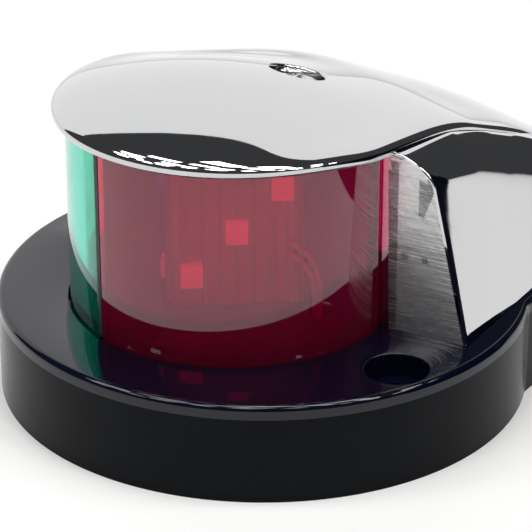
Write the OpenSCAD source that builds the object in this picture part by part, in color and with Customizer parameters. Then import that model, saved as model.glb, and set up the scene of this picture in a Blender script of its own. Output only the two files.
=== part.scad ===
// Bi-colour bow navigation light with a moulded base, a plated visor housing
// and port and starboard lenses. Millimetres. +Z is up, the bow is towards -Y
// and the port (red) side is +X. The origin lies on the mounting face, under
// the axis that the two lenses are turned about.

/* [Base] */
// Radius of the round front part of the base
base_r = 38.1; // [37:0.1:39]
// Distance of that circle's centre aft of the lens axis
base_shift = 5.6; // [4:0.2:7]
// Height of the deck above the mounting face
deck_z = 14.4; // [13:0.2:16]
// Thickness of the deck
deck_t = 4.6; // [4.2:0.2:5]
// Thickness of the base's outer wall
wall_t = 3; // [2.4:0.2:3.6]
// Aft end of the base
tail_end = 80; // [78:1:84]
// Radius of the base's rounded aft end
tail_r = 17.4; // [17:0.2:18]
// Spacing of the two mounting screws across the light
mount_span = 65; // [64:0.5:65]
// Distance of the mounting screws aft of the lens axis
mount_y = 2.4; // [1:0.2:4]
// Radius of the mounting screws' clearance holes
mount_hole_r = 2.3; // [2:0.1:2.6]
// Radius of the recess for a mounting screw's head
mount_head_r = 4.4; // [4:0.1:4.5]

/* [Lenses] */
// Outer radius of the lenses
lens_r = 23.1; // [22.5:0.1:23.3]
// Wall thickness of the lenses
lens_t = 2.4; // [2:0.1:3]
// Angle that each lens shows, from dead ahead to its cut-off
sector = 112.5; // [112.5:0.5:113]
// Height of the lenses' top edge at the bow
lens_top = 43; // [42.6:0.1:43.2]

/* [Housing] */
// Radius of the visor over the lenses
visor_r = 24.9; // [24.6:0.1:25.2]
// Height of the visor's crown above the mounting face
crown_z = 48.3; // [47.6:0.1:48.6]
// Downward slope of the crest towards the tail
crest_slope = 0.36; // [0.34:0.01:0.37]
// Half angle at which the crest narrows towards the tail
crest_angle = 16; // [15:0.5:17]
// Height of the visor's lip at the bow
lip_z = 42.5; // [42.2:0.1:42.6]
// Half width of the housing's foot where the cut-off face meets the deck
foot_x = 33.9; // [33:0.1:34]
// Sideways taper of the foot for each millimetre aft
foot_taper = 0.37; // [0.36:0.01:0.38]
// Inward lean of the housing's sides for each millimetre of height
side_lean = 0.25; // [0.22:0.01:0.26]
// Thickness of the casting
cast_t = 2.6; // [2.2:0.1:2.8]
// Distance of the top screw aft of the lens axis
screw_y = 11.5; // [11:0.1:12]

/* [Electronics] */
// Distance of each LED board's face from the lens axis
led_face = 7; // [6.6:0.1:7.2]
// Direction of each LED board, from dead ahead
led_angle = 56.25; // [55:0.25:57]
// Height of each LED board
led_board_h = 22; // [20:0.5:22]

/* [Hidden] */
$fn = 96;

far = 120;                      // larger than the light, for cutting shapes
fit = 0.3;                      // clearance between pieces that come apart
port = 1;
starboard = -1;

// Base outline
tail_y = tail_end - tail_r;
flank_x = 31.8;
flank_y = 22.3;
flank_angle = 18.5;

// Underside, from the mounting face up
gasket_t = 1.6;
cover_t = 2;
cover_top = gasket_t + cover_t;
cover_gap = 0.2;
cavity_top = deck_z - deck_t;
cover_posts = [[22, -12], [-22, -12], [11, 66], [-11, 66]];
cover_screw_r = 1.4;
exit_y = 44;                    // where the supply lead passes the cover
exit_r = 3;                     // bore for the supply lead

// Lenses and seals
seal_t = 1;
groove_z = deck_z - 2.4;
lens_bottom = groove_z + seal_t;
groove_gap = 0.3;
lens_in = lens_r - lens_t;
lens_tilt = 11;                 // droop of the lenses' top edge towards the tail
lens_axis_top = 41.3;           // height of that drooping edge over the lens axis
lens_tuck = 5;                  // angle that a lens runs on behind the cut-off
divider_t = 0.6;
seam_gap = 0.06;

// Housing
foot_y = 13.3;
foot_end = 77;
foot_r = 14.8;
foot_yc = foot_end - foot_r;
crest_y = 62.4;                 // centre of the crest's rounded tail
crest_end_r = visor_r - crest_y * sin(crest_angle);
rim_rise = 0.85;                // visor rim's widest line above its lip
lip_inset = 0.5;
web_t = 5.6;                    // thickness of the pillars behind the cut-off
boss_r = 4.6;
boss_z = 30;                    // where the housing's boss meets the base's post
head_r = 3.6;
head_seat = 41.2;
head_h = 1.9;
screw_r = 1.95;
screw_l = 19;
screw_fit = 0.05;
washer_t = 0.7;
insert_r = 2.9;
insert_l = 9;

// Driver board
board_z = 7.4;
board_t = 1.2;
board_w = 36;
board_l = 26;
board_y = 8;
board_posts = [[15, -2], [-15, -2], [15, 18], [-15, 18]];

// LED carrier and boards
carrier_top = 38.6;
plinth_z = deck_z + 1.2;
led_board_w = 17;
led_board_t = 1.2;
led_board_z = 16.4;
led_w = 3;
led_h = 3.4;
led_t = 1.2;
led_spots = [[-6.2, 4.6], [0, 11], [6.2, 17.4]];
carrier_back = 5;
carrier_hole_x = 4.6;
carrier_hole_y = 1;

// ---------------------------------------------------------------- laws

// Smooth ramp: 0 well below zero, t well above it
function ramp(t, w) = w * ln(1 + exp(t / w));
function clamp01(t) = max(0, min(1, t));
function ease(a, b, t) = let (u = clamp01((t - a) / (b - a))) u * u * (3 - 2 * u);

// Height of the housing's centre line at a station y
crest_soft = 5;
function crest(y) = crown_z - crest_slope * ramp(y - 3.4, crest_soft)
    - 0.0095 * pow(max(0, y - 34), 2) + 0.034 * pow(max(0, y - 58), 2);

// Height of the visor's lip, and of the crest's lower edge behind it
lip_slope = 0.43;
function lip(y) = lip_z - lip_slope * ramp(y - 4, crest_soft) + 4.9 * ease(2, 30, y)
    - 0.006 * pow(max(0, y - 38), 2) + 0.025 * pow(max(0, y - 58), 2);

// Fraction of the way from the centre line to the crest's outline
function reach(x, y) =
    let (ax = abs(x), angle = atan2(ax, -y), s = (y - ax * tan(crest_angle)) / crest_y)
    angle < 90 + crest_angle ? norm([x, y]) / visor_r
    : s < 1 ? ax / ((visor_r + (crest_end_r - visor_r) * s) * cos(crest_angle))
    : norm([x, y - crest_y]) / crest_end_r;

// Half width of the crest's outline at y, for a visor of radius r
function crest_half(y, r) =
    let (turn = r * sin(crest_angle), end_r = r - crest_y * sin(crest_angle),
         tail = y - crest_y)
    y < turn ? sqrt(max(0.04, r * r - y * y))
    : tail < end_r * sin(crest_angle)
      ? (r - y * sin(crest_angle)) / cos(crest_angle)
      : sqrt(max(0.04, end_r * end_r - tail * tail));

// Top of the crown: nearly flat across, rolling over into the rim
crown_dome = 2.5;
crown_camber = 3.9;
crown_least = 1.6;
rim_power_bow = 5.9;
rim_power_tail = 4.1;
function crown(x, y) =
    let (t = min(1, reach(x, y)), rim = lip(y) + rim_rise,
         power = rim_power_bow + (rim_power_tail - rim_power_bow) * ease(-10, 25, y),
         dome = crown_dome * min(1, (x * x + pow(min(y, 0), 2)) / pow(visor_r, 2)),
         camber = crown_camber * pow(x / visor_r, 2) * ease(-25, 10, y))
    rim + (crown_least + ramp(crest(y) - camber - dome - rim - crown_least, 0.5))
        * sqrt(1 - pow(t, power));

// Half width of the housing's foot at y
foot_angle = atan(foot_taper);
function foot_half(y, inset) =
    let (r = foot_r - inset, tail = y - foot_yc)
    tail < r * sin(foot_angle)
      ? foot_x - foot_taper * (y - foot_y) - inset / cos(foot_angle)
      : sqrt(max(0.04, r * r - tail * tail));

// Height of the shoulder where the tail body tucks under the crest
shoulder_drop = 1.5;
shoulder_run = 5;
function shoulder(y) = max(2, lip(y - 3) - deck_z + 0.1);
function shoulder_round(y) = 2.3 + 5 * ease(13, 32, y);

// Quadratic curve from a to c that turns at b
function bend(a, b, c, n) =
    [for (i = [0:n]) let (t = i / n) pow(1 - t, 2) * a + 2 * t * (1 - t) * b + t * t * c];

// ---------------------------------------------------------------- shapes

// Closed solid through cross-sections with the same number of points
module loft(sections) {
    count = len(sections);
    ring = len(sections[0]);
    points = [for (s = sections) for (p = s) p];
    sides = [for (i = [0:count - 2]) for (j = [0:ring - 1])
        let (k = (j + 1) % ring, a = i * ring, b = a + ring)
        each [[a + j, b + j, b + k], [a + j, b + k, a + k]]];
    front = [for (j = [0:ring - 1]) j];
    back = [for (j = [ring - 1:-1:0]) (count - 1) * ring + j];
    polyhedron(points, concat(sides, [front, back]), convexity = 6);
}

// Plan of everything less than the cut-off angle from dead ahead
module sector_plan(angle, r) {
    polygon([[0, 0], r * [sin(angle), -cos(angle)], [r, -r], [-r, -r],
             r * [-sin(angle), -cos(angle)]]);
}

// Space below the lenses' top edge, raised by rise: level at the bow, then drooping
module below_lens_top(rise) {
    intersection() {
        translate([-far, -far, lens_top + rise - far]) cube([2 * far, 2 * far, far]);
        translate([0, 0, lens_axis_top + rise]) rotate([-lens_tilt, 0, 0])
            translate([-far, -far, -far]) cube([2 * far, 2 * far, far]);
    }
}

module tube(r_out, r_in, h) {
    difference() {
        cylinder(r = r_out, h = h);
        translate([0, 0, -1]) cylinder(r = r_in, h = h + 2);
    }
}

// Plan of the base, drawn in by inset
module base_plan(inset) {
    r = tail_r - inset;
    shift = inset / cos(flank_angle);
    translate([0, base_shift]) circle(r = base_r - inset);
    translate([0, tail_y]) circle(r = r);
    polygon([[flank_x - shift, flank_y], [r * cos(flank_angle), tail_y + r * sin(flank_angle)],
             [-r * cos(flank_angle), tail_y + r * sin(flank_angle)],
             [shift - flank_x, flank_y]]);
}

module pan_head_screw(head, head_h, shank, length) {
    difference() {
        union() {
            cylinder(r = head, h = head_h);
            translate([0, 0, -length]) cylinder(r = shank, h = length + 0.1);
        }
        for (turn = [0, 90]) rotate(turn)
            translate([-head * 0.62, -head * 0.12, head_h - 0.9])
                cube([head * 1.24, head * 0.24, 2]);
    }
}

// Round wire swept along a route of points
wire_sides = 8;
function unit(v) = v / norm(v);
function wire_ring(p, along, r) =
    let (side = unit(cross(along, [0.3, 1, 0.1])), up = cross(side, along))
    [for (k = [0:wire_sides - 1]) let (t = 360 * k / wire_sides)
        p + r * (cos(t) * side + sin(t) * up)];
module wire(route, r) {
    last = len(route) - 1;
    loft([for (i = [0:last])
        wire_ring(route[i], unit(route[min(i + 1, last)] - route[max(i - 1, 0)]), r)]);
}

// Places children in a frame on an LED board: x along it, y up, z outwards
module on_led_face(side) {
    rotate(side * (led_angle - 90))
        translate([side * led_face, 0, led_board_z])
            rotate([90, 0, side * 90]) children();
}

// ---------------------------------------------------------------- base

module base() {
    color("#0a0b0f") difference() {
        union() {
            difference() {
                linear_extrude(deck_z) base_plan(0);
                translate([0, 0, -1]) linear_extrude(cavity_top + 1) base_plan(wall_t);
            }
            intersection() {
                for (side = [port, starboard])
                    translate([side * mount_span / 2, mount_y, 0])
                        cylinder(r = mount_head_r + 2.2, h = deck_z);
                linear_extrude(deck_z) base_plan(0.5);
            }
            for (p = cover_posts)
                translate([p.x, p.y, cover_top]) cylinder(r = 3.4, h = cavity_top - cover_top + 1);
            for (p = board_posts)
                translate([p.x, p.y, board_z + board_t]) cylinder(r = 2.4, h = 2);
            translate([0, 0, cavity_top])
                cylinder(r = lens_in - groove_gap, h = plinth_z - cavity_top);
            translate([0, screw_y, cavity_top])
                cylinder(r = boss_r, h = boss_z - fit - cavity_top);
        }
        translate([0, 0, groove_z]) tube(lens_r + groove_gap, lens_in - groove_gap, 5);
        for (side = [port, starboard]) {
            translate([side * mount_span / 2, mount_y, -1]) cylinder(r = mount_hole_r, h = far);
            translate([side * mount_span / 2, mount_y, deck_z - 3.4])
                cylinder(r = mount_head_r, h = far);
            translate([side * 13.6, 4, -1]) cylinder(r = 1.8, h = far);
            translate([side * carrier_hole_x, carrier_hole_y, -1]) cylinder(r = 1.6, h = far);
        }
        for (p = cover_posts)
            translate([p.x, p.y, 0]) cylinder(r = cover_screw_r, h = cavity_top);
        for (p = board_posts)
            translate([p.x, p.y, 0]) cylinder(r = 0.95, h = cavity_top + 2);
        translate([0, screw_y, boss_z - insert_l]) cylinder(r = insert_r, h = 20);
    }
}

module base_gasket() {
    color("#2b2c2e") difference() {
        linear_extrude(gasket_t) base_plan(wall_t + cover_gap);
        for (side = [port, starboard])
            translate([side * mount_span / 2, mount_y, -1])
                cylinder(r = mount_head_r + 2.6, h = far);
        translate([0, exit_y, -1]) cylinder(r = 6.5, h = far);
    }
}

module bottom_cover() {
    color("#1b1c20") difference() {
        translate([0, 0, gasket_t]) linear_extrude(cover_t) base_plan(wall_t + cover_gap);
        for (side = [port, starboard])
            translate([side * mount_span / 2, mount_y, -1])
                cylinder(r = mount_head_r + 2.6, h = far);
        translate([0, exit_y, -1]) cylinder(r = 4.4, h = far);
        for (p = cover_posts) {
            translate([p.x, p.y, -1]) cylinder(r = cover_screw_r + 0.1, h = far);
            translate([p.x, p.y, -1]) cylinder(r = 2.8, h = gasket_t + 2);
        }
    }
}

module cover_screws() {
    color("#b9bcc0") for (p = cover_posts)
        translate([p.x, p.y, gasket_t + 1]) mirror([0, 0, 1])
            pan_head_screw(2.6, 1, cover_screw_r - 0.05, 5.5);
}

module wire_grommet() {
    color("#17181a") translate([0, exit_y, 0]) difference() {
        union() {
            translate([0, 0, gasket_t + 0.1]) cylinder(r = 4.3, h = cover_t - 0.1);
            cylinder(r = 6.2, h = gasket_t);
            translate([0, 0, cover_top]) cylinder(r = 5.4, h = 1.8);
            cylinder(r = 4.3, h = cover_top);
        }
        translate([0, 0, -1]) cylinder(r = exit_r, h = far);
    }
}

// ---------------------------------------------------------------- driver

module driver_board() {
    color("#1f6b3a") difference() {
        translate([-board_w / 2, board_y - board_l / 2, board_z]) cube([board_w, board_l, board_t]);
        for (p = board_posts)
            translate([p.x, p.y, 0]) cylinder(r = 1.2, h = far);
    }
}

module board_screws() {
    color("#b9bcc0") for (p = board_posts)
        translate([p.x, p.y, board_z]) mirror([0, 0, 1])
            pan_head_screw(1.9, 1.1, 0.9, 3);
}

module inductor() {
    color("#3a3d42") translate([-10, 4, board_z - 3.2]) {
        translate([0, 0, 0.4]) tube(3.4, 1.1, 2.4);
        cylinder(r = 2.2, h = 3.2);
        cylinder(r = 3.6, h = 0.5);
        translate([0, 0, 2.7]) cylinder(r = 3.6, h = 0.5);
    }
}

module capacitors() {
    color("#c8a35a") for (x = [5, 11.5])
        translate([x, 12, board_z - 2.6]) {
            translate([-1.6, -1.3, 0]) cube([3.2, 2.6, 2.6]);
            translate([-2.1, -1.1, 0.3]) cube([4.2, 2.2, 2.3]);
        }
}

module driver_chips() {
    color("#15161a") for (p = [[6, 1], [12, 3], [-8, 14]])
        translate([p.x, p.y, board_z - 1.6]) {
            translate([-2, -1.6, 0]) cube([4, 3.2, 1.2]);
            for (k = [-1.2, 0, 1.2])
                translate([k - 0.25, -2.4, 1.1]) cube([0.5, 4.8, 0.5]);
        }
}

// ---------------------------------------------------------------- light source

module led_carrier() {
    face = led_face - led_board_t;
    reach_x = face * sin(led_angle) + led_board_w / 2 * cos(led_angle);
    reach_y = led_board_w / 2 * sin(led_angle) - face * cos(led_angle);
    color("#c9ccd0") difference() {
        translate([0, 0, plinth_z]) linear_extrude(carrier_top - plinth_z)
            polygon([[0, -face / cos(led_angle)], [reach_x, reach_y], [reach_x, carrier_back],
                     [-reach_x, carrier_back], [-reach_x, reach_y]]);
        for (side = [port, starboard])
            translate([side * carrier_hole_x, carrier_hole_y, 0])
                cylinder(r = 1.25, h = plinth_z + 8);
    }
}

module carrier_screws() {
    color("#b9bcc0") for (side = [port, starboard])
        translate([side * carrier_hole_x, carrier_hole_y, cavity_top]) mirror([0, 0, 1])
            pan_head_screw(2.2, 1.1, 1.2, 12);
}

module led_board(side) {
    color("#e9ebe6") on_led_face(side)
        translate([-led_board_w / 2, 0, -led_board_t]) cube([led_board_w, led_board_h, led_board_t]);
}

module leds(side, tint) {
    color(tint) on_led_face(side) for (spot = led_spots) translate([side * spot.x, spot.y, 0]) {
        translate([-led_w / 2, -led_h / 2, 0]) cube([led_w, led_h, led_t - 0.3]);
        translate([0, 0, led_t - 0.4]) cylinder(r = 1.2, h = 0.4);
    }
}

module led_wires(side, tint) {
    // From the driver board, up through the deck and onto the LED board's face
    for (lead = [0, 1]) {
        rise = 1.8 * lead;
        apart = 0.9 * lead;
        color(lead == 0 ? tint : "#111111")
            wire([for (p = [[13.1 + apart, 4, board_z + board_t], [13.1 + apart, 4, 12],
                            [13.1 + apart, 4, 15], [13.2 + apart, 3.8, 18 + rise],
                            [13.1 + apart, 3.3, 20.6 + rise], [12.4 + apart, 2.7, 22.4 + rise],
                            [11.3, 2.3, 23.4 + rise], [10, 2.1, 23.8 + rise]])
                [side * p.x, p.y, p.z]], 0.4);
    }
}

// ---------------------------------------------------------------- lenses

module lens_divider() {
    tip = led_face / cos(led_angle);
    color("#101114") difference() {
        intersection() {
            translate([-divider_t / 2, -lens_r, deck_z + 0.1])
                cube([divider_t, lens_r - tip - 0.2, far]);
            below_lens_top(0);
        }
        cylinder(r = lens_in - groove_gap + 0.1, h = plinth_z + 0.1);
    }
}

module lens_seal() {
    color("#1a1a1a") translate([0, 0, groove_z])
        tube(lens_r + 0.1, lens_in - 0.1, seal_t);
}

module lens_ring(side, r_out, r_in) {
    edge = divider_t / 2 + seam_gap;
    difference() {
        tube(r_out, r_in, far);
        translate([side < 0 ? -edge : edge - far, -far, -1]) cube([far, 2 * far, far + 2]);
        translate([0, 0, -1]) linear_extrude(far + 2) difference() {
            square(2 * far, center = true);
            sector_plan(sector + lens_tuck, far * 2);
        }
    }
}

module lens(side) {
    intersection() {
        translate([0, 0, lens_bottom]) union() {
            lens_ring(side, lens_r, lens_in);
            // Foot flange that stiffens the lens on its seal
            intersection() {
                lens_ring(side, lens_r, lens_in - 0.2);
                cylinder(r = far, h = 1);
            }
        }
        below_lens_top(0);
    }
}

module red_lens() { color("#c01028") lens(port); }

module green_lens() { color("#12b27c") lens(starboard); }

// ---------------------------------------------------------------- housing

// Stations along a rounded end, closer together where the outline turns
function arc_stations(centre, r, from, to, n) =
    [for (i = [0:n]) centre - r * cos(from + (to - from) * i / n)];
crest_stations = concat(
    arc_stations(0, visor_r, 5, 105, 22),
    [for (y = [11:4:60]) y],
    arc_stations(crest_y, crest_end_r, 100, 172, 6));
crest_steps = [for (u = [-90:7.5:90]) sin(u)];

module crest_solid() {
    loft([for (y = crest_stations)
        let (half = crest_half(y, visor_r),
             low = min(half - 0.1, crest_half(y, visor_r - lip_inset)))
        concat([for (s = crest_steps) [half * s, y, crown(half * s, y)]],
               [[low, y, lip(y)], [-low, y, lip(y)]])]);
}

// Half of the tail body's cross-section, from its foot to the flat of its top
function tail_profile(y, inset) =
    let (half = foot_half(y, inset), top = shoulder(y) - inset,
         drop = min(shoulder_drop, 0.4 * top), rise = top - drop,
         lean = min(side_lean * rise, half * 0.5),
         turn = min(shoulder_round(y), half * 0.3, rise * 0.8),
         run = max(turn, min(shoulder_run, half * 0.4)),
         corner = [half - lean, rise], up = unit([-lean, rise]))
    concat([[half, 0]], bend(corner - turn * up, corner, corner + [-run, drop], 7));

foot_stations = concat([for (y = [2:4:62]) y], arc_stations(foot_yc, foot_r, 96, 176, 9));
room_stations = [for (y = [2:4:58]) y];

module tail_solid(inset, stations, floor_z) {
    loft([for (y = stations)
        let (half = tail_profile(y, inset), n = len(half))
        concat([for (p = half) [-p.x, y, max(floor_z, deck_z + p.y)]],
               [for (k = [n - 1:-1:0]) [half[k].x, y, max(floor_z, deck_z + half[k].y)]])]);
}

// Room inside the visor and the tail, under a roof that follows the crest
module inner_room() {
    roof = 5;
    front_roof = lens_top + 0.6;
    intersection() {
        rotate([90, 0, 90]) linear_extrude(far, center = true)
            polygon(concat([[-far, 0], [-far, front_roof], [-12, front_roof], [-6, 42.2]],
                           [for (y = [0:6:72]) [y, min(42.2, crest(y) - roof)]],
                           [[72, 0]]));
        union() {
            translate([0, 0, deck_z - 1]) cylinder(r = lens_in, h = far);
            difference() {
                tail_solid(cast_t, room_stations, deck_z - 1);
                translate([0, web_t / sin(sector - 90 + 45), -1])
                    linear_extrude(far) sector_plan(sector, far * 2);
            }
        }
    }
}

module housing() {
    color("#d4d6d9") difference() {
        union() {
            difference() {
                union() {
                    difference() {
                        tail_solid(0, foot_stations, deck_z + fit / 2);
                        linear_extrude(far) sector_plan(sector, far * 2);
                    }
                    crest_solid();
                }
                inner_room();
                // Slot that the lenses' top and ends sit in
                intersection() {
                    translate([0, 0, deck_z - 1]) tube(lens_r + fit, lens_in - 1, far);
                    below_lens_top(fit);
                    linear_extrude(far) sector_plan(sector + lens_tuck + 1, far * 2);
                }
            }
            translate([0, screw_y, boss_z]) cylinder(r = boss_r, h = crest(screw_y) - 2 - boss_z);
        }
        translate([0, screw_y, 0]) cylinder(r = 2.3, h = far);
        translate([0, screw_y, head_seat]) cylinder(r = head_r + 0.3, h = far);
    }
}

module threaded_insert() {
    color("#b08d3e") translate([0, screw_y, boss_z - insert_l])
        tube(insert_r, screw_r + screw_fit, insert_l - fit);
}

module top_screw() {
    color("#c7cacd") translate([0, screw_y, head_seat + washer_t])
        pan_head_screw(head_r, head_h, screw_r, screw_l);
}

module top_screw_seal() {
    color("#141414") translate([0, screw_y, head_seat])
        tube(head_r - 0.2, screw_r + 0.1, washer_t);
}

base();
base_gasket();
bottom_cover();
cover_screws();
wire_grommet();
driver_board();
board_screws();
inductor();
capacitors();
driver_chips();
led_carrier();
carrier_screws();
led_board(port);  // led_board_port
led_board(starboard);  // led_board_starboard
leds(port, "#ffb9a8");  // port_leds
leds(starboard, "#c8ffe2");  // starboard_leds
led_wires(port, "#b3202a");  // led_wires_port
led_wires(starboard, "#b3202a");  // led_wires_starboard
lens_divider();
lens_seal();
red_lens();
green_lens();
threaded_insert();
housing();
top_screw();
top_screw_seal();
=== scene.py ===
import math

import bmesh
import bpy
import numpy as np
from mathutils import Matrix, Vector
from mathutils.bvhtree import BVHTree


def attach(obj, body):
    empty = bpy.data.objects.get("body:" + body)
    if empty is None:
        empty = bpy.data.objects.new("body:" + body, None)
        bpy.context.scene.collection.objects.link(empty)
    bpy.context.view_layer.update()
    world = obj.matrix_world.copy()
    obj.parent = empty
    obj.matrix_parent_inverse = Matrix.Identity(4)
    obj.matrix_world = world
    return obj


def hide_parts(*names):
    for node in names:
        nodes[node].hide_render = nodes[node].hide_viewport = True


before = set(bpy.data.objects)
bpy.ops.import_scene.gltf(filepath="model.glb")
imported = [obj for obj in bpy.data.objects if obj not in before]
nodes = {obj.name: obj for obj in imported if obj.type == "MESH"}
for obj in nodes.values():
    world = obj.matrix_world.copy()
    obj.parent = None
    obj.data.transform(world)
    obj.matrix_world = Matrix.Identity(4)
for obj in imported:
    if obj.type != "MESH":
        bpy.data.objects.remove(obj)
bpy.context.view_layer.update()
MM = 0.001
MERGE = 0.00001  # points closer than this, in metres, become one

# ------------------------------------------------------------------ laws, in mm
# The same shapes as the part's source, with the same numbers
CROWN_Z = 48.3
CREST_SLOPE = 0.36
LIP_Z = 42.5
LIP_SLOPE = 0.43
RIM_RISE = 0.85
DOME = 2.5
CAMBER = 3.9
LEAST_CROWN = 1.6
SIDE_LEAN = 0.25
SHOULDER_DROP = 1.5
SHOULDER_RUN = 5
HEAD_SEAT = 41.2
HEAD_RECESS_R = 3.9
VISOR_R = 24.9
CREST_Y = 62.4
CREST_A = math.radians(16)
END_R = VISOR_R - CREST_Y * math.sin(CREST_A)
DECK_Z = 14.4
LENS_R = 23.1
LENS_IN = 20.7
GROOVE_GAP = 0.3
FOOT_Y = 13.3
FOOT_X = 33.9
FOOT_TAPER = 0.37
FOOT_R = 14.8
FOOT_END = 77.0
SCREW_Y = 11.5
CUT = math.radians(112.5)


def ramp(t, w):
    return w * np.log1p(np.exp(t / w))


def ease(a, b, t):
    u = np.clip((t - a) / (b - a), 0, 1)
    return u * u * (3 - 2 * u)


def crest(y):
    """Height of the housing's centre line."""
    return (CROWN_Z - CREST_SLOPE * ramp(y - 3.4, 5) - 0.0095 * np.maximum(0, y - 34) ** 2
            + 0.034 * np.maximum(0, y - 58) ** 2)


def lip(y):
    """Height of the visor's lip, and of the crest's lower edge behind it."""
    return (LIP_Z - LIP_SLOPE * ramp(y - 4, 5) + 4.9 * ease(2, 30, y)
            - 0.006 * np.maximum(0, y - 38) ** 2 + 0.025 * np.maximum(0, y - 58) ** 2)


def reach(x, y):
    """Fraction of the way from the centre line to the crest's outline."""
    ax = np.abs(x)
    angle = np.arctan2(ax, -y)
    s = (y - ax * math.tan(CREST_A)) / CREST_Y
    side = ax / ((VISOR_R + (END_R - VISOR_R) * np.clip(s, 0, 1)) * math.cos(CREST_A))
    return np.where(angle < math.pi / 2 + CREST_A, np.hypot(x, y) / VISOR_R,
                    np.where(s < 1, side, np.hypot(x, y - CREST_Y) / END_R))


def crown(x, y):
    t = np.minimum(1, reach(x, y))
    rim = lip(y) + RIM_RISE
    power = 5.9 - 1.8 * ease(-10, 25, y)
    dome = DOME * np.minimum(1, (x * x + np.minimum(y, 0) ** 2) / VISOR_R ** 2)
    camber = CAMBER * (x / VISOR_R) ** 2 * ease(-25, 10, y)
    height = LEAST_CROWN + ramp(crest(y) - camber - dome - rim - LEAST_CROWN, 0.5)
    return rim + height * np.sqrt(1 - t ** power)


def foot_half(y):
    """Half width of the housing's foot."""
    tail = y - (FOOT_END - FOOT_R)
    flat = FOOT_X - FOOT_TAPER * (y - FOOT_Y)
    end = np.sqrt(np.maximum(0.0, FOOT_R ** 2 - tail ** 2))
    return np.where(tail < FOOT_R * math.sin(math.atan(FOOT_TAPER)), flat, end)


def shoulder(y):
    """Height above the deck at which the tail tucks under the crest."""
    return np.maximum(2, lip(y - 3) - DECK_Z + 0.1)


# ------------------------------------------------------------------ mesh helpers
def make_object(name, points, faces, body):
    """A mesh object from points in mm, riding on a body."""
    mesh = bpy.data.meshes.new(name)
    mesh.from_pydata([tuple(MM * c for c in p) for p in points], [], faces)
    mesh.validate()
    obj = bpy.data.objects.new(name, mesh)
    bpy.context.scene.collection.objects.link(obj)
    shade(obj)
    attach(obj, body)
    return obj


def shade(obj, angle=None):
    mesh = obj.data
    mesh.polygons.foreach_set("use_smooth", [True] * len(mesh.polygons))
    if angle is not None:
        mesh.set_sharp_from_angle(angle=math.radians(angle))
    mesh.update()


class Patches:
    """Grids of quads collected into one mesh."""

    def __init__(self):
        self.points = []
        self.faces = []
        self.slots = []

    def grid(self, g, slot=0, flip=False, close=False):
        """g is rows x columns x 3. close joins the last column to the first."""
        rows, cols = g.shape[:2]
        base = len(self.points)
        self.points.extend(map(tuple, g.reshape(-1, 3).tolist()))
        last = cols if close else cols - 1
        for i in range(rows - 1):
            for j in range(last):
                k = (j + 1) % cols
                a, b = base + i * cols + j, base + i * cols + k
                c, d = base + (i + 1) * cols + k, base + (i + 1) * cols + j
                self.faces.append((a, d, c, b) if flip else (a, b, c, d))
                self.slots.append(slot)

    def build(self, name, body, keep=None):
        """The collected grids as one object. keep says which points may stay."""
        faces, slots = self.faces, self.slots
        if keep is not None:
            p = np.array(self.points)
            stay = keep(p)
            pairs = [(f, s) for f, s in zip(faces, slots) if any(stay[i] for i in f)]
            faces = [f for f, _ in pairs]
            slots = [s for _, s in pairs]
        obj = make_object(name, self.points, faces, body)
        mesh = obj.data
        if len(mesh.polygons) == len(slots):
            mesh.polygons.foreach_set("material_index", slots)
        bm = bmesh.new()
        bm.from_mesh(mesh)
        bmesh.ops.remove_doubles(bm, verts=bm.verts, dist=MERGE)
        loose = [v for v in bm.verts if not v.link_faces]
        bmesh.ops.delete(bm, geom=loose, context="VERTS")
        bm.to_mesh(mesh)
        bm.free()
        shade(obj)
        return obj


def join_cad_rest(obj, node, tolerance, slot=0):
    """Adds to obj the faces of a CAD node that obj's own surface doesn't already cover.

    A face is covered when its corners, its middle and the middles of its sides all lie within
    tolerance (mm) of obj's surface.
    """
    bm = bmesh.new()
    bm.from_mesh(obj.data)
    tree = BVHTree.FromBMesh(bm)
    src = nodes[node].data
    co = [v.co.copy() for v in src.vertices]

    def near(p):
        hit = tree.find_nearest(p, tolerance * MM)
        return hit[0] is not None

    fresh = {}
    close = [near(p) for p in co]
    for poly in src.polygons:
        vs = list(poly.vertices)
        pts = [co[i] for i in vs]
        mid = sum(pts, Vector()) / len(pts)
        halves = [(pts[i] + pts[(i + 1) % len(pts)]) / 2 for i in range(len(pts))]
        if all(close[i] for i in vs) and near(mid) and all(near(h) for h in halves):
            continue
        ring = []
        for i in vs:
            key = tuple(round(c, 7) for c in co[i])
            if key not in fresh:
                fresh[key] = bm.verts.new(co[i])
            if fresh[key] not in ring:
                ring.append(fresh[key])
        if len(ring) > 2:
            try:
                f = bm.faces.new(ring)
                f.material_index = slot
                f.smooth = True
            except ValueError:
                pass
    bm.to_mesh(obj.data)
    bm.free()
    shade(obj, 32)


def cut_away(obj, cutter):
    """Takes the cutter's solid out of obj and removes the cutter."""
    mod = obj.modifiers.new("cut", "BOOLEAN")
    mod.operation = "DIFFERENCE"
    mod.solver = "EXACT"
    mod.object = cutter
    bpy.context.view_layer.update()
    done = obj.evaluated_get(bpy.context.evaluated_depsgraph_get())
    mesh = bpy.data.meshes.new_from_object(done)
    obj.modifiers.clear()
    obj.data = mesh
    bpy.data.objects.remove(cutter)


def lathe(profile, centre, steps=96):
    """Rows of a turned surface: profile is (r, z) pairs, bottom to top."""
    a = np.linspace(0, 2 * math.pi, steps, endpoint=False)
    return np.array([[(centre[0] + r * math.cos(t), centre[1] + r * math.sin(t), z)
                      for t in a] for r, z in profile])


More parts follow.
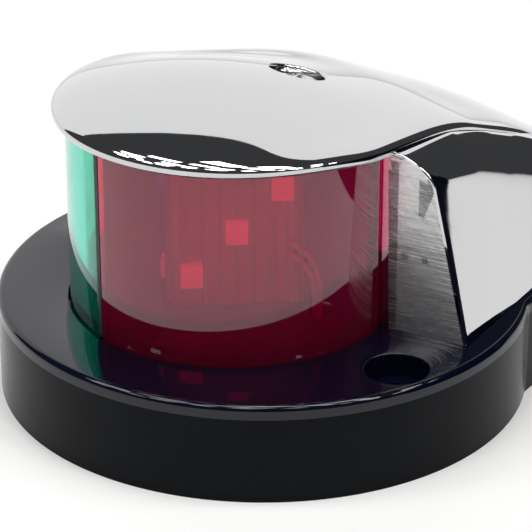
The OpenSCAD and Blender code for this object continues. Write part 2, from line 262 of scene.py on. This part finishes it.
def solid_from_rows(name, rows):
    """Closed solid from rings of points, with a cap on each end."""
    mesh = bpy.data.meshes.new(name)
    n = rows.shape[1]
    faces = [tuple(range(n))[::-1], tuple((len(rows) - 1) * n + j for j in range(n))]
    for i in range(len(rows) - 1):
        for j in range(n):
            k = (j + 1) % n
            faces.append((i * n + j, i * n + k, (i + 1) * n + k, (i + 1) * n + j))
    mesh.from_pydata([tuple(MM * c for c in p) for p in rows.reshape(-1, 3)], [], faces)
    obj = bpy.data.objects.new(name, mesh)
    bpy.context.scene.collection.objects.link(obj)
    return obj


# ------------------------------------------------------------------ materials
def material(name):
    m = bpy.data.materials.new(name)
    m.use_nodes = True
    tree = m.node_tree
    tree.nodes.clear()
    out = tree.nodes.new("ShaderNodeOutputMaterial")
    shader = tree.nodes.new("ShaderNodeBsdfPrincipled")
    tree.links.new(shader.outputs[0], out.inputs[0])
    return m, tree, shader


def add(tree, kind, inputs=None, **settings):
    n = tree.nodes.new(kind)
    for k, v in settings.items():
        setattr(n, k, v)
    for k, v in (inputs or {}).items():
        if isinstance(v, bpy.types.NodeSocket):
            tree.links.new(v, n.inputs[k])
        else:
            n.inputs[k].default_value = v
    return n


def coords(tree, scale=(1, 1, 1), turn=(0, 0, 0)):
    c = add(tree, "ShaderNodeTexCoord")
    return add(tree, "ShaderNodeMapping", {"Vector": c.outputs["Object"], "Scale": scale,
                                           "Rotation": turn}).outputs[0]


def noise(tree, vector, scale, detail=3.0, rough=0.55):
    return add(tree, "ShaderNodeTexNoise", {"Vector": vector, "Scale": scale,
                                            "Detail": detail, "Roughness": rough}).outputs["Fac"]


def spread(tree, value, lo, hi, a=0.3, b=0.7):
    return add(tree, "ShaderNodeMapRange", {"Value": value, "From Min": a, "From Max": b,
                                            "To Min": lo, "To Max": hi}).outputs[0]


def mix_colour(tree, fac, a, b):
    n = add(tree, "ShaderNodeMix", data_type="RGBA")
    for socket, v in (("Factor", fac), ("A", a), ("B", b)):
        target = [s for s in n.inputs if s.name == socket and s.enabled][0]
        if isinstance(v, bpy.types.NodeSocket):
            tree.links.new(v, target)
        elif isinstance(v, (int, float)):
            target.default_value = v
        else:
            target.default_value = (*v, 1)
    return [s for s in n.outputs if s.enabled][0]


def bump(tree, height, strength, distance, normal=None):
    ins = {"Height": height, "Strength": strength, "Distance": distance}
    if normal is not None:
        ins["Normal"] = normal
    return add(tree, "ShaderNodeBump", ins).outputs[0]


def edges(tree, a=0.52, b=0.6):
    g = add(tree, "ShaderNodeNewGeometry")
    return spread(tree, g.outputs["Pointiness"], 0, 1, a, b)


def chrome():
    """Bright plating with faint waves and haze."""
    m, t, s = material("bright_chrome")
    fine = noise(t, coords(t), 900, 4)
    broad = noise(t, coords(t), 45, 2)
    haze = spread(t, noise(t, coords(t), 130, 5), 0, 1, 0.42, 0.75)
    s.inputs["Metallic"].default_value = 1
    t.links.new(mix_colour(t, broad, (0.575, 0.58, 0.59), (0.63, 0.63, 0.63)),
                s.inputs["Base Color"])
    rough = add(t, "ShaderNodeMath", {0: spread(t, fine, 0.018, 0.04),
                                      1: add(t, "ShaderNodeMath", {0: haze, 1: 0.025},
                                             operation="MULTIPLY").outputs[0]})
    t.links.new(rough.outputs[0], s.inputs["Roughness"])
    wave = bump(t, broad, 0.10, 0.0006)
    t.links.new(bump(t, fine, 0.02, 0.00004, wave), s.inputs["Normal"])
    return m


def brushed_chrome():
    """Plating over level brush marks, on the flat cut-off faces."""
    m, t, s = material("brushed_chrome")
    s.inputs["Metallic"].default_value = 0.75
    lines = noise(t, coords(t, (35, 35, 3600)), 1, 4, 0.65)
    deep = noise(t, coords(t, (18, 18, 1200)), 1, 2)
    broad = noise(t, coords(t), 60, 2)
    t.links.new(mix_colour(t, spread(t, lines, 0, 1), (0.70, 0.70, 0.71), (0.98, 0.98, 0.98)),
                s.inputs["Base Color"])
    t.links.new(spread(t, lines, 0.16, 0.32), s.inputs["Roughness"])
    a = bump(t, lines, 0.22, 0.00008)
    b = bump(t, deep, 0.25, 0.00015, a)
    t.links.new(bump(t, broad, 0.12, 0.0006, b), s.inputs["Normal"])
    return m


def plastic(name, dark, light, rough, grain, strength, wear=0.25, ior=1.5):
    """Moulded plastic: fine grain, faint mottling and paler rubbed edges."""
    m, t, s = material(name)
    fine = noise(t, coords(t), grain, 4)
    broad = noise(t, coords(t), 70, 3)
    colour = mix_colour(t, spread(t, broad, 0, 1), dark, light)
    rub = add(t, "ShaderNodeMath", {0: edges(t), 1: wear}, operation="MULTIPLY").outputs[0]
    paler = tuple(min(1, 0.05 + 2.2 * c) for c in light)
    t.links.new(mix_colour(t, rub, colour, paler), s.inputs["Base Color"])
    t.links.new(spread(t, fine, rough * 0.8, rough * 1.25), s.inputs["Roughness"])
    wave = bump(t, broad, 0.05, 0.0004)
    t.links.new(bump(t, fine, strength, 0.00006, wave), s.inputs["Normal"])
    s.inputs["IOR"].default_value = ior
    return m


def lens_plastic(name, colour, deep, clear):
    """Tinted lens plastic. clear is how much of the light passes straight through."""
    m, t, s = material(name)
    fine = noise(t, coords(t), 700, 3)
    broad = noise(t, coords(t), 55, 2)
    t.links.new(mix_colour(t, spread(t, broad, 0, 1), colour, deep), s.inputs["Base Color"])
    t.links.new(spread(t, fine, 0.004, 0.02), s.inputs["Roughness"])
    wave = bump(t, broad, 0.04, 0.0005)
    t.links.new(wave, s.inputs["Normal"])
    s.inputs["Transmission Weight"].default_value = clear
    s.inputs["IOR"].default_value = 1.6
    s.inputs["Coat Weight"].default_value = 0.35
    s.inputs["Coat Roughness"].default_value = 0.03
    s.inputs["Coat Tint"].default_value = (0.97, 0.93, 1.0, 1)
    return m


def metal(name, colour, rough, stretch=(1, 1, 1), strength=0.1):
    """Bare metal with turning or drawing marks."""
    m, t, s = material(name)
    lines = noise(t, coords(t, stretch), 600, 3)
    s.inputs["Metallic"].default_value = 1
    darker = tuple(0.7 * c for c in colour)
    t.links.new(mix_colour(t, spread(t, lines, 0, 1), darker, colour), s.inputs["Base Color"])
    t.links.new(spread(t, lines, rough * 0.7, rough * 1.3), s.inputs["Roughness"])
    t.links.new(bump(t, lines, strength, 0.00005), s.inputs["Normal"])
    return m


def board(name, mask, track):
    """Solder mask over faint tracks."""
    m, t, s = material(name)
    v = coords(t)
    cells = add(t, "ShaderNodeTexBrick", {"Vector": v, "Scale": 260, "Mortar Size": 0.06,
                                          "Brick Width": 0.9, "Row Height": 0.5,
                                          "Color1": (0, 0, 0, 1), "Color2": (0.15, 0.15, 0.15, 1),
                                          "Mortar": (1, 1, 1, 1)})
    fine = noise(t, v, 900, 3)
    t.links.new(mix_colour(t, cells.outputs["Color"], mask, track), s.inputs["Base Color"])
    t.links.new(spread(t, fine, 0.22, 0.38), s.inputs["Roughness"])
    t.links.new(bump(t, cells.outputs["Fac"], 0.3, 0.00005), s.inputs["Normal"])
    return m


CHROME = chrome()
BRUSHED = brushed_chrome()
DECK = plastic("deck_black", (0.0012, 0.002, 0.008), (0.002, 0.003, 0.011), 0.045, 1500, 0.03,
               wear=0.06, ior=1.46)
WALL = plastic("wall_black", (0.0012, 0.002, 0.003), (0.0022, 0.0032, 0.0045), 0.16, 1400, 0.06,
               wear=0.06, ior=1.19)
COVER = plastic("cover_black", (0.02, 0.02, 0.022), (0.035, 0.035, 0.04), 0.4, 1200, 0.2)
RUBBER = plastic("black_rubber", (0.012, 0.012, 0.013), (0.028, 0.028, 0.03), 0.6, 2400, 0.4)
DIVIDER = plastic("divider_black", (0.006, 0.006, 0.008), (0.012, 0.012, 0.014), 0.5, 1800, 0.3)
CHIP = plastic("chip_black", (0.012, 0.012, 0.013), (0.022, 0.022, 0.024), 0.45, 3000, 0.3)
FERRITE = plastic("ferrite_grey", (0.03, 0.03, 0.033), (0.06, 0.06, 0.065), 0.6, 2600, 0.5)
CAP = plastic("capacitor_tan", (0.30, 0.19, 0.06), (0.44, 0.30, 0.11), 0.35, 1600, 0.2)
WIRE = plastic("wire_red", (0.70, 0.020, 0.020), (0.86, 0.045, 0.040), 0.35, 1800, 0.2)
STEEL = metal("stainless_steel", (0.72, 0.72, 0.71), 0.18, (1, 1, 1))
BRASS = metal("turned_brass", (0.72, 0.52, 0.20), 0.25, (1, 1, 6))
CARRIER = metal("carrier_grey", (0.80, 0.80, 0.81), 0.5, (1, 1, 8), 0.2)
GREEN_BOARD = board("green_board", (0.012, 0.10, 0.035), (0.10, 0.28, 0.10))
LED_BOARD = board("led_board_mask", (0.62, 0.61, 0.58), (0.45, 0.40, 0.32))
RED = lens_plastic("red_lens_plastic", (0.96, 0.015, 0.17), (0.88, 0.01, 0.12), 0.90)
GREEN = lens_plastic("green_lens_plastic", (0.05, 0.86, 0.58), (0.03, 0.76, 0.50), 0.95)


def led_material(name, colour):
    m, t, s = material(name)
    fine = noise(t, coords(t), 1500, 2)
    spots = add(t, "ShaderNodeTexVoronoi", {"Vector": coords(t), "Scale": 900})
    t.links.new(mix_colour(t, spread(t, spots.outputs["Distance"], 0, 1, 0, 0.6),
                           (0.9, 0.85, 0.6), colour), s.inputs["Base Color"])
    t.links.new(spread(t, fine, 0.08, 0.2), s.inputs["Roughness"])
    s.inputs["Coat Weight"].default_value = 0.6
    # Painted glow: a faint emission in the LED's colour stands in for glints on the unlit LEDs, so
    # they show bright through the lens
    s.inputs["Emission Color"].default_value = (*colour, 1)
    s.inputs["Emission Strength"].default_value = 0.3
    return m


# Both LED materials carry a faint painted glow in their own colour
RED_LED = led_material("red_led_resin_painted_glow", (0.95, 0.55, 0.42))
GREEN_LED = led_material("green_led_resin_painted_glow", (0.65, 0.95, 0.75))


def dress(obj, *materials):
    polygons = obj.data.polygons
    slots = np.zeros(len(polygons), dtype=np.int32)
    polygons.foreach_get("material_index", slots)
    obj.data.materials.clear()
    for m in materials:
        obj.data.materials.append(m)
    polygons.foreach_set("material_index", np.minimum(slots, len(materials) - 1))


# ------------------------------------------------------------------ housing
def visor_patches(parts):
    """Crown from the screw's recess out to the rim, the rim's roll and the lip."""
    turns = 720
    theta = np.linspace(0, 2 * math.pi, turns, endpoint=False)
    dx, dy = np.sin(theta), np.cos(theta)
    lo, hi = np.full(turns, 5.0), np.full(turns, 90.0)
    for _ in range(50):
        mid = (lo + hi) / 2
        out = reach(dx * mid, SCREW_Y + dy * mid) > 1
        hi = np.where(out, mid, hi)
        lo = np.where(out, lo, mid)
    length = (lo + hi) / 2
    roll = 0.4
    hole = HEAD_RECESS_R + roll
    fine = np.linspace(0, 1, 1600)
    fine = 1 - (1 - fine) ** 3
    count = 110
    rows = []
    want = np.linspace(0, 1, count + 1)
    want = 1 - (1 - want) ** 1.25
    for i in range(turns):
        r = hole + (length[i] - hole) * fine
        x, y = dx[i] * r, SCREW_Y + dy[i] * r
        z = crown(x, y)
        z[-1] = lip(y[-1]) + RIM_RISE
        s = np.concatenate([[0], np.cumsum(np.hypot(np.diff(r), np.diff(z)))])
        pick = want * s[-1]
        rows.append(np.stack([np.interp(pick, s, x), np.interp(pick, s, y),
                              np.interp(pick, s, z)], -1))
    g = np.array(rows).transpose(1, 0, 2)
    # Recess for the screw head, with a rolled edge
    ring = g[0]
    edge = []
    for k in range(6, 0, -1):
        a = math.pi / 2 * k / 6
        r = HEAD_RECESS_R + roll * (1 - math.sin(a))
        drop = roll * (1 - math.cos(a))
        edge.append(np.stack([dx * r, SCREW_Y + dy * r, ring[:, 2] - drop], -1))
    wall = [np.stack([dx * HEAD_RECESS_R, SCREW_Y + dy * HEAD_RECESS_R,
                      HEAD_SEAT + (edge[0][:, 2] - HEAD_SEAT) * f], -1)
            for f in (0, 0.33, 0.66)]
    parts.grid(np.array(wall + edge + list(g)), flip=True, close=True)
    # Rim roll and lip
    out = g[-1]
    x, y = out[:, 0], out[:, 1]
    spine = np.clip(y - np.abs(x) * math.tan(CREST_A), 0, CREST_Y)
    spine = np.where(np.arctan2(np.abs(x), -y) < math.pi / 2 + CREST_A, 0, spine)
    nx, ny = x, y - spine
    size = np.hypot(nx, ny)
    nx, ny = nx / size, ny / size
    strip = []
    for k in range(13):
        a = math.pi / 2 * k / 12
        inset = 0.5 * (1 - math.cos(a))
        px, py = x - nx * inset, y - ny * inset
        strip.append(np.stack([px, py, lip(py) + RIM_RISE * (1 - math.sin(a))], -1))
    for inset in (0.75, 1.1, 1.45):
        px, py = x - nx * inset, y - ny * inset
        strip.append(np.stack([px, py, lip(py)], -1))
    parts.grid(np.array(strip), flip=True, close=True)


def tail_curve(y, j, counts):
    """Point j of the tail's cross-section at y: up the side, round the shoulder, over the top."""
    side, turn_n, top = counts
    half = foot_half(y)
    top_z = shoulder(y)
    drop = np.minimum(SHOULDER_DROP, 0.4 * top_z)
    rise = top_z - drop
    lean = np.minimum(SIDE_LEAN * rise, half * 0.5)
    turn = np.minimum(2.3 + 5 * ease(13, 32, y), np.minimum(half * 0.3, rise * 0.8))
    size = np.hypot(lean, rise)
    ux, uz = -lean / size, rise / size
    cx, cz = half - lean, rise
    ax, az = cx - turn * ux, cz - turn * uz
    bx = cx - np.maximum(turn, np.minimum(SHOULDER_RUN, half * 0.4))
    t = np.clip(j / side, 0, 1)
    x, z = half + (ax - half) * t, az * t
    if j > side:
        t = min(1.0, (j - side) / turn_n)
        x = (1 - t) ** 2 * ax + 2 * t * (1 - t) * cx + t * t * bx
        z = (1 - t) ** 2 * az + 2 * t * (1 - t) * cz + t * t * top_z
    if j > side + turn_n:
        t = (j - side - turn_n) / top
        x, z = bx * (1 - t), top_z
    return x, np.maximum(0.15, z) + DECK_Z


def tail_patches(parts):
    """Both sides of the tail behind the cut-off, its ridge, and the flat cut-off faces."""
    counts = (26, 22, 18)
    total = sum(counts)
    slope = -1 / math.tan(CUT)
    plane = np.array([math.sin(CUT), -math.cos(CUT), 0])
    ridge = []
    for j in range(total + 1):
        y = 10.0
        for _ in range(60):
            x, z = tail_curve(np.float64(y), j, counts)
            y = float(x) * slope
        ridge.append((float(x), y, float(z)))
    ridge = np.array(ridge)
    rho = np.hypot(ridge[:, 0], ridge[:, 1])
    bevel = 0.4
    tang = np.stack([np.gradient(rho), np.gradient(ridge[:, 2])], -1)
    tang /= np.maximum(1e-9, np.hypot(tang[:, 0], tang[:, 1]))[:, None]
    inward = np.stack([-tang[:, 1], tang[:, 0]], -1)
    rows = []
    for j in range(total + 1):
        a = ridge[j] + bevel * (inward[j, 0] * plane + np.array([0, 0, inward[j, 1]]))
        start = ridge[j, 1] + bevel * 1.2
        end = FOOT_END
        v = 1 - (1 - np.linspace(0, 1, 130)) ** 1.7
        ys = start + (end - start) * v
        xs, zs = tail_curve(ys, j, counts)
        xs = np.array(xs) * np.ones_like(ys)
        xs[-1] = 0
        side = np.stack([xs, ys, zs * np.ones_like(ys)], -1)
        t = np.linspace(0, 1, 8)[:, None]
        arc = (1 - t) ** 2 * a + 2 * t * (1 - t) * ridge[j] + t * t * side[0]
        rows.append(np.concatenate([arc[:-1], side]))
    g = np.array(rows)
    parts.grid(g)
    parts.grid(g * np.array([-1, 1, 1]), flip=True)
    # Flat cut-off face, from the ridge in to the lens
    up_to = counts[0] + counts[1]
    face = []
    for j in range(up_to + 1):
        a = g[j, 0]
        q = (LENS_R + GROOVE_GAP) * plane + np.array([0, 0, a[2]])
        t = np.array([0, 0.004, 0.02, 0.1, 0.2, 0.3, 0.4, 0.5, 0.6, 0.7, 0.8, 0.9, 1.0])[:, None]
        face.append(a + (q - a) * t)
    face = np.array(face)
    parts.grid(face, slot=1, flip=True)
    parts.grid(face * np.array([-1, 1, 1]), slot=1)


def outside_crest(p):
    """False for points of the tail that lie well inside the crest, where nothing shows."""
    inside = (reach(p[:, 0], p[:, 1]) < 0.985) & (p[:, 2] < crown(p[:, 0], p[:, 1]) - 0.25)
    return ~inside


def housing():
    """The casting: rounded skin from the laws, with the CAD's inner faces."""
    tail = Patches()
    tail_patches(tail)
    tail_obj = tail.build("housing_tail", "housing", keep=outside_crest)
    visor = Patches()
    visor_patches(visor)
    obj = visor.build("housing_casting", "housing")
    bm = bmesh.new()
    bm.from_mesh(obj.data)
    bm.from_mesh(tail_obj.data)
    bm.to_mesh(obj.data)
    bm.free()
    bpy.data.objects.remove(tail_obj)
    shade(obj)
    join_cad_rest(obj, "housing", 0.3)
    shade(obj, 38)
    dress(obj, CHROME, BRUSHED)
    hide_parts("housing")
    return obj


# ------------------------------------------------------------------ base
BASE_R, BASE_C = 38.1, 5.6
TAIL_R, TAIL_C = 17.4, 62.6
MOUNT_X, MOUNT_Y = 32.5, 2.4
MOUNT_HOLE_R, MOUNT_HEAD_R = 2.3, 4.4
MOUNT_SEAT = 11.0
GROOVE_OUT, GROOVE_IN = 23.4, 20.4
GROOVE_Z = 12.0
FLANK_A = math.radians(18.5)


def base_outline(inset):
    """Right-hand half of the base's outline from bow to tail, then its mirror image."""
    r, tail = BASE_R - inset, TAIL_R - inset
    shift = inset / math.cos(FLANK_A)
    px, py = 31.8 - shift, 22.3
    qx, qy = tail * math.cos(FLANK_A), TAIL_C + tail * math.sin(FLANK_A)
    ux, uy = qx - px, qy - py
    size = math.hypot(ux, uy)
    ux, uy = ux / size, uy / size
    fx, fy = px, py - BASE_C
    b = fx * ux + fy * uy
    s = -b + math.sqrt(b * b - (fx * fx + fy * fy - r * r))
    mx, my = px + ux * s, py + uy * s
    a1 = math.atan2(my - BASE_C, mx)
    pts = [(r * math.cos(a), BASE_C + r * math.sin(a)) for a in np.linspace(-math.pi / 2, a1, 150)]
    pts += [(mx + (qx - mx) * t, my + (qy - my) * t) for t in np.linspace(0, 1, 60)[1:]]
    pts += [(tail * math.cos(a), TAIL_C + tail * math.sin(a))
            for a in np.linspace(FLANK_A, math.pi / 2, 50)[1:]]
    half = np.array(pts)
    mirror = half[-2:0:-1] * np.array([-1, 1])
    return np.concatenate([half, mirror])


def base():
    """The moulding: rounded outer skin, holes and lens groove, with the CAD's inner faces."""
    arris = 0.9
    rows = []
    levels = [(0, z) for z in np.linspace(0, DECK_Z - arris, 14)]
    for k in range(1, 11):
        a = math.pi / 2 * k / 10
        levels.append((arris * (1 - math.cos(a)), DECK_Z - arris * (1 - math.sin(a))))
    for inset, z in levels:
        o = base_outline(inset)
        rows.append(np.column_stack([o, np.full(len(o), z)]))
    obj = solid_from_rows("base_moulding", np.array(rows))
    for side in (1, -1):
        hole = [(MOUNT_HOLE_R, -1), (MOUNT_HOLE_R, MOUNT_SEAT), (MOUNT_HEAD_R, MOUNT_SEAT),
                (MOUNT_HEAD_R, MOUNT_SEAT + 0.02), (MOUNT_HEAD_R, 20)]
        cut_away(obj, solid_from_rows("cut", lathe(hole, (side * MOUNT_X, MOUNT_Y), 128)))
    ring = np.linspace(0, 2 * math.pi, 256, endpoint=False)
    tube = [(GROOVE_OUT, GROOVE_Z), (GROOVE_OUT, 20.0), (GROOVE_IN, 20.0), (GROOVE_IN, GROOVE_Z)]
    pts = [(r * math.cos(a), r * math.sin(a), z) for r, z in tube for a in ring]
    n = len(ring)
    faces = []
    for i in range(4):
        for j in range(n):
            k, h = (j + 1) % n, (i + 1) % 4
            faces.append((i * n + j, i * n + k, h * n + k, h * n + j))
    mesh = bpy.data.meshes.new("cut")
    mesh.from_pydata([tuple(MM * c for c in p) for p in pts], [], faces)
    cutter = bpy.data.objects.new("cut", mesh)
    bpy.context.scene.collection.objects.link(cutter)
    bm = bmesh.new()
    bm.from_mesh(mesh)
    bmesh.ops.recalc_face_normals(bm, faces=bm.faces)
    bm.to_mesh(mesh)
    bm.free()
    cut_away(obj, cutter)
    bm = bmesh.new()
    bm.from_mesh(obj.data)
    # The underside and everything inside the groove come from the CAD
    gone = []
    for f in bm.faces:
        c = f.calc_center_median()
        under = all(v.co.z < 1e-6 for v in f.verts)
        middle = all(math.hypot(v.co.x, v.co.y) < 20.5 * MM for v in f.verts) and c.z > 11.9 * MM
        if under or middle:
            gone.append(f)
    bmesh.ops.delete(bm, geom=gone, context="FACES")
    soft = []
    for e in bm.edges:
        if all(abs(v.co.z - DECK_Z * MM) < 1e-6 for v in e.verts):
            for x, y, r in ((MOUNT_X, MOUNT_Y, MOUNT_HEAD_R), (-MOUNT_X, MOUNT_Y, MOUNT_HEAD_R),
                            (0, 0, GROOVE_OUT)):
                if all(abs(math.hypot(v.co.x - x * MM, v.co.y - y * MM) - r * MM) < 2e-5
                       for v in e.verts):
                    soft.append(e)
    bmesh.ops.bevel(bm, geom=soft, offset=0.22 * MM, segments=3, profile=0.5, affect="EDGES",
                    clamp_overlap=True)
    bmesh.ops.triangulate(bm, faces=[f for f in bm.faces if len(f.verts) > 4])
    for f in bm.faces:
        z = max(v.co.z for v in f.verts)
        f.material_index = 0 if (abs(f.normal.z) > 0.15 or z > (DECK_Z - 0.95) * MM) else 1
    bm.to_mesh(obj.data)
    bm.free()
    shade(obj, 32)
    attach(obj, "light_base")
    join_cad_rest(obj, "base", 0.45, slot=1)
    dress(obj, DECK, WALL)
    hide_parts("base")
    return obj


# ------------------------------------------------------------------ lenses
LENS_EDGE = 0.36
LENS_END = math.radians(117.5)
LENS_TILT = math.tan(math.radians(11))
LENS_BOTTOM, LENS_TOP, LENS_AXIS_TOP = 13.0, 43.0, 41.3


def lens(name, side, mat, node):
    """One lens: an arc from the seam dead ahead round to its end behind the cut-off."""
    edge, end = LENS_EDGE, LENS_END

    def arc(r, n=180):
        return np.linspace(math.asin(edge / r), end, n)

    def top(y):
        return np.minimum(LENS_TOP, LENS_AXIS_TOP - LENS_TILT * y)

    loop = []
    for r, rev in ((LENS_R, False), (LENS_IN, True)):
        a = arc(r)
        pts = [(side * r * math.sin(t), -r * math.cos(t)) for t in a]
        loop.append(pts[::-1] if rev else pts)
    end_cap = [(side * r * math.sin(end), -r * math.cos(end)) for r in (22.5, 21.9, 21.3)]
    start = [(side * edge, -math.sqrt(r * r - edge * edge)) for r in (21.3, 21.9, 22.5)]
    ring = np.array(loop[0] + end_cap + loop[1] + start)
    n = len(ring)
    levels = []
    for f in np.linspace(0, 1, 24):
        z = LENS_BOTTOM + (top(ring[:, 1]) - LENS_BOTTOM) * f
        levels.append(np.column_stack([ring, z]))
    g = np.array(levels)
    obj = solid_from_rows(name, g if side > 0 else g[:, ::-1])
    bm = bmesh.new()
    bm.from_mesh(obj.data)
    bmesh.ops.recalc_face_normals(bm, faces=bm.faces)
    bm.to_mesh(obj.data)
    bm.free()
    shade(obj, 35)
    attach(obj, "light_base")
    dress(obj, mat)
    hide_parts(node)
    mod = obj.modifiers.new("edge", "BEVEL")
    mod.width = 0.18 * MM
    mod.segments = 2
    mod.limit_method = "ANGLE"
    mod.angle_limit = math.radians(50)
    mod.harden_normals = True
    return obj


# ------------------------------------------------------------------ screw
def top_screw():
    """The screw, with a domed head and a cross recess."""
    z0 = 41.9  # underside of the head, on its seal
    profile = [(0.02, z0 - 19), (1.5, z0 - 19), (1.95, z0 - 18.4), (1.95, z0), (3.35, z0),
               (3.6, z0 + 0.22), (3.6, z0 + 0.55)]
    for k in range(1, 11):
        a = math.pi / 2 * k / 10
        r = 3.6 * math.cos(a) ** 0.8 if k < 10 else 0.02
        profile.append((r, z0 + 0.55 + 1.35 * math.sin(a)))
    obj = solid_from_rows("top_screw_head", lathe(profile, (0, SCREW_Y), 96))
    for turn in (0.35, 0.35 + math.pi / 2):
        w, l = 0.5, 2.1
        c, s = math.cos(turn), math.sin(turn)
        rows = []
        for z, k in ((z0 + 0.3, 0.45), (z0 + 2.6, 1.15)):
            corners = [(-l * k, -w * k), (l * k, -w * k), (l * k, w * k), (-l * k, w * k)]
            rows.append([(x * c - y * s, SCREW_Y + x * s + y * c, z) for x, y in corners])
        cut_away(obj, solid_from_rows("cut", np.array(rows)))
    shade(obj, 35)
    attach(obj, "top_screw")
    dress(obj, STEEL)
    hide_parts("top_screw")
    mod = obj.modifiers.new("edge", "BEVEL")
    mod.width = 0.08 * MM
    mod.segments = 2
    mod.limit_method = "ANGLE"
    mod.angle_limit = math.radians(40)


housing()
base()
lens("port_lens", 1, RED, "red_lens")
lens("starboard_lens", -1, GREEN, "green_lens")
top_screw()

finishes = {
    "base_gasket": RUBBER, "bottom_cover": COVER, "cover_screws": STEEL, "wire_grommet": RUBBER,
    "driver_board": GREEN_BOARD, "board_screws": STEEL, "inductor": FERRITE, "capacitors": CAP,
    "driver_chips": CHIP, "led_carrier": CARRIER, "carrier_screws": STEEL,
    "led_board_port": LED_BOARD, "led_board_starboard": LED_BOARD, "port_leds": RED_LED,
    "starboard_leds": GREEN_LED, "led_wires_port": WIRE, "led_wires_starboard": WIRE,
    "lens_divider": DIVIDER, "lens_seal": RUBBER, "threaded_insert": BRASS,
    "top_screw_seal": RUBBER}
rounded = {"bottom_cover": 0.3, "led_carrier": 0.3, "led_board_port": 0.08,
           "led_board_starboard": 0.08, "driver_board": 0.08, "capacitors": 0.12,
           "port_leds": 0.12, "starboard_leds": 0.12, "cover_screws": 0.15, "inductor": 0.1}
for name, mat in finishes.items():
    obj = nodes[name]
    dress(obj, mat)
    if name in rounded:
        mod = obj.modifiers.new("edge", "BEVEL")
        mod.width = rounded[name] * MM
        mod.segments = 2
        mod.limit_method = "ANGLE"
        mod.angle_limit = math.radians(50)

# ------------------------------------------------------------------ stage, light, camera
def emitter(name, size, at, look, strength, colour=(1, 1, 1)):
    """A glowing card of the studio, part of the stage."""
    mesh = bpy.data.meshes.new(name)
    w, h = size[0] / 2, size[1] / 2
    mesh.from_pydata([(-w, -h, 0), (w, -h, 0), (w, h, 0), (-w, h, 0)], [], [(0, 1, 2, 3)])
    obj = bpy.data.objects.new(name, mesh)
    bpy.context.scene.collection.objects.link(obj)
    obj.location = at
    obj.rotation_euler = (Vector(look) - Vector(at)).to_track_quat("-Z", "Y").to_euler()
    m = bpy.data.materials.new(name)
    m.use_nodes = True
    m.node_tree.nodes.clear()
    out = m.node_tree.nodes.new("ShaderNodeOutputMaterial")
    em = m.node_tree.nodes.new("ShaderNodeEmission")
    em.inputs[0].default_value = (*colour, 1)
    em.inputs[1].default_value = strength
    m.node_tree.links.new(em.outputs[0], out.inputs[0])
    mesh.materials.append(m)
    obj.visible_camera = False
    return obj


TURN = math.radians(51.23)  # of the camera, from dead ahead to port
RISE = math.radians(25.89)  # of the camera, above the deck
toward = Vector((math.sin(TURN) * math.cos(RISE), -math.cos(TURN) * math.cos(RISE),
                 math.sin(RISE)))
right = Vector((math.cos(TURN), math.sin(TURN), 0))
up = toward.cross(right)
front = Vector((math.sin(TURN), -math.cos(TURN), 0))

floor_mesh = bpy.data.meshes.new("floor")
floor_mesh.from_pydata([(-4, -4, 0), (4, -4, 0), (4, 4, 0), (-4, 4, 0)], [], [(0, 1, 2, 3)])
floor = bpy.data.objects.new("floor", floor_mesh)
bpy.context.scene.collection.objects.link(floor)
fm, ft, fs = material("pale_floor")
ft.links.new(mix_colour(ft, noise(ft, coords(ft), 6, 2), (0.92, 0.915, 0.905),
                        (0.94, 0.935, 0.925)), fs.inputs["Base Color"])
fs.inputs["Roughness"].default_value = 0.9
fs.inputs["Specular IOR Level"].default_value = 0.1
floor_mesh.materials.append(fm)

world = bpy.data.worlds.new("studio")
bpy.context.scene.world = world
world.use_nodes = True
world.node_tree.nodes["Background"].inputs[0].default_value = (0.9, 0.92, 1.0, 1)
world.node_tree.nodes["Background"].inputs[1].default_value = 0.06

far = -front
side = front.cross(Vector((0, 0, 1)))
emitter("back_wall", (4.0, 2.5), far * 2.0 + side * 1.1 + Vector((0, 0, 1.25)),
        far * 1.0 + side * 1.1 + Vector((0, 0, 1.25)), 1.10)
rng = np.random.default_rng(4)
for i, ahead in enumerate((-0.1, 0.38, 0.86, 1.34)):
    for k in range(7):
        shift = (k - 3) * 0.66 + 0.25 * (i % 2) + rng.uniform(-0.1, 0.1)
        size = (rng.uniform(0.28, 0.52), rng.uniform(0.14, 0.30))
        at = front * (ahead + rng.uniform(-0.1, 0.1)) + side * shift + Vector((0, 0, 2.0))
        emitter(f"ceiling_{i}_{k}", size, at, at - Vector((0, 0, 1)), 10.0)
# Black flag beside the tail, seen only in the plating
flag = bpy.data.meshes.new("flag")
flag.from_pydata([(0.0500, 0.0714, 0.0), (0.150, 0.040, 0.0), (0.150, 0.040, 0.09),
                  (0.0210, 0.0807, 0.09)], [], [(0, 1, 2, 3)])
flag_obj = bpy.data.objects.new("flag", flag)
bpy.context.scene.collection.objects.link(flag_obj)
gm, gt, gs = material("flag_cloth")
gt.links.new(mix_colour(gt, noise(gt, coords(gt), 300, 2), (0.004, 0.005, 0.012),
                        (0.010, 0.011, 0.022)), gs.inputs["Base Color"])
gs.inputs["Roughness"].default_value = 0.9
gs.inputs["Specular IOR Level"].default_value = 0
flag.materials.append(gm)
flag_obj.visible_camera = False
flag_obj.visible_diffuse = False
flag_obj.visible_shadow = False
flag_obj.visible_transmission = False

cam_data = bpy.data.cameras.new("camera")
cam = bpy.data.objects.new("camera", cam_data)
bpy.context.scene.collection.objects.link(cam)
SENSOR = 36
FOCAL_PER_WIDTH = 2600 / 532
cam_data.sensor_width = SENSOR
cam_data.lens = FOCAL_PER_WIDTH * SENSOR
cam_data.clip_start = 0.02
cam_data.clip_end = 30
DISTANCE, ACROSS, ABOVE = 376.5, 4.68, 16.34
place = (DISTANCE * toward + ACROSS * right + ABOVE * up) * MM
turn = Matrix((right, up, toward)).transposed().to_4x4()
cam.matrix_world = Matrix.Translation(place) @ turn
bpy.context.scene.camera = cam
bpy.context.scene.view_settings.view_transform = "Standard"
